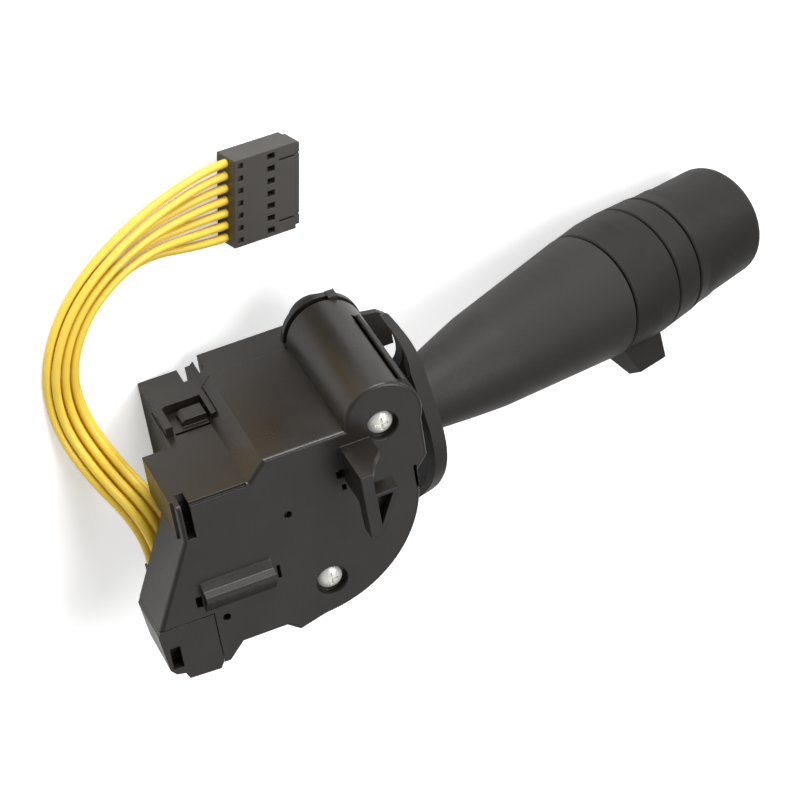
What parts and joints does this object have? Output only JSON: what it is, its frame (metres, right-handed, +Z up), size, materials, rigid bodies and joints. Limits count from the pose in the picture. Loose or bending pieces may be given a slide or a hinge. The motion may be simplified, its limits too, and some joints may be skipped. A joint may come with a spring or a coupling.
{
  "type": "combination stalk switch",
  "caption": "Steering column switch: a black moulded housing with a tapering lever that turns and pulls, a tabbed ring, a rotary end knob and a yellow wire lead with a flat plug.",
  "frame": {"origin": "middle of the underside of the switch without its lead, on the table that it lies on", "axes": "+X along the lever towards its end knob, +Y across, towards the side where the lead lies, +Z up from the table"},
  "size_m": [0.16, 0.0805, 0.0564],
  "materials": {
    "housing_plastic": "semi-gloss black moulding",
    "lever_plastic": "fine matt texture, black",
    "inner_plastic": "dark grey moulding",
    "zinc_steel": "bright zinc plating",
    "spring_steel": "plain steel",
    "board_laminate": "coated laminate",
    "contact_metal": "plain brass",
    "yellow_insulation": "yellow insulation",
    "plug_plastic": "dark grey moulding"
  },
  "bodies": {
    "housing": {"front_shell": "housing_plastic", "rear_cover": "housing_plastic", "side_cover": "housing_plastic", "wire_comb": "housing_plastic", "housing_screws": "zinc_steel", "circuit_board": "board_laminate", "contact_pads": "contact_metal", "detent_track": "inner_plastic", "wire_1": "yellow_insulation", "wire_2": "yellow_insulation", "wire_3": "yellow_insulation", "wire_4": "yellow_insulation", "wire_5": "yellow_insulation", "wire_6": "yellow_insulation", "wire_7": "yellow_insulation", "plug_housing": "plug_plastic", "plug_terminals": "contact_metal"},
    "turning_yoke": {"turn_yoke": "inner_plastic", "detent_plunger": "inner_plastic", "detent_spring": "spring_steel", "pull_pin": "spring_steel", "return_spring": "spring_steel", "contact_block": "inner_plastic", "block_contacts": "contact_metal"},
    "lever": {"lever_core": "inner_plastic", "shield": "lever_plastic", "stalk": "lever_plastic", "fixed_band": "lever_plastic"},
    "tab_ring": {"tab_ring": "lever_plastic"},
    "end_knob": {"end_knob": "lever_plastic", "knob_spindle": "spring_steel"}
  },
  "joints": [
    {"name": "lever_turn", "type": "hinge", "parent": "housing", "child": "turning_yoke", "pos_m": [-0.04951, 0.00396, 0.03051], "axis": [-0.3049, 0, 0.9524], "range_deg": [-12, 12]},
    {"name": "lever_pull", "type": "hinge", "parent": "turning_yoke", "child": "lever", "pos_m": [-0.04951, 0.00396, 0.03051], "axis": [-0.1358, -0.9898, -0.0435], "range_deg": [0, 8], "stiffness_Nm_per_rad": 1.5},
    {"name": "ring_turn", "type": "hinge", "parent": "lever", "child": "tab_ring", "pos_m": [0.04369, -0.00822, 0.01678], "axis": [0.9811, -0.1283, -0.1446], "range_deg": [-30, 30]},
    {"name": "knob_turn", "type": "hinge", "parent": "lever", "child": "end_knob", "pos_m": [0.06822, -0.01143, 0.01316], "axis": [0.9811, -0.1283, -0.1446], "range_deg": [0, 75]}
  ]
}
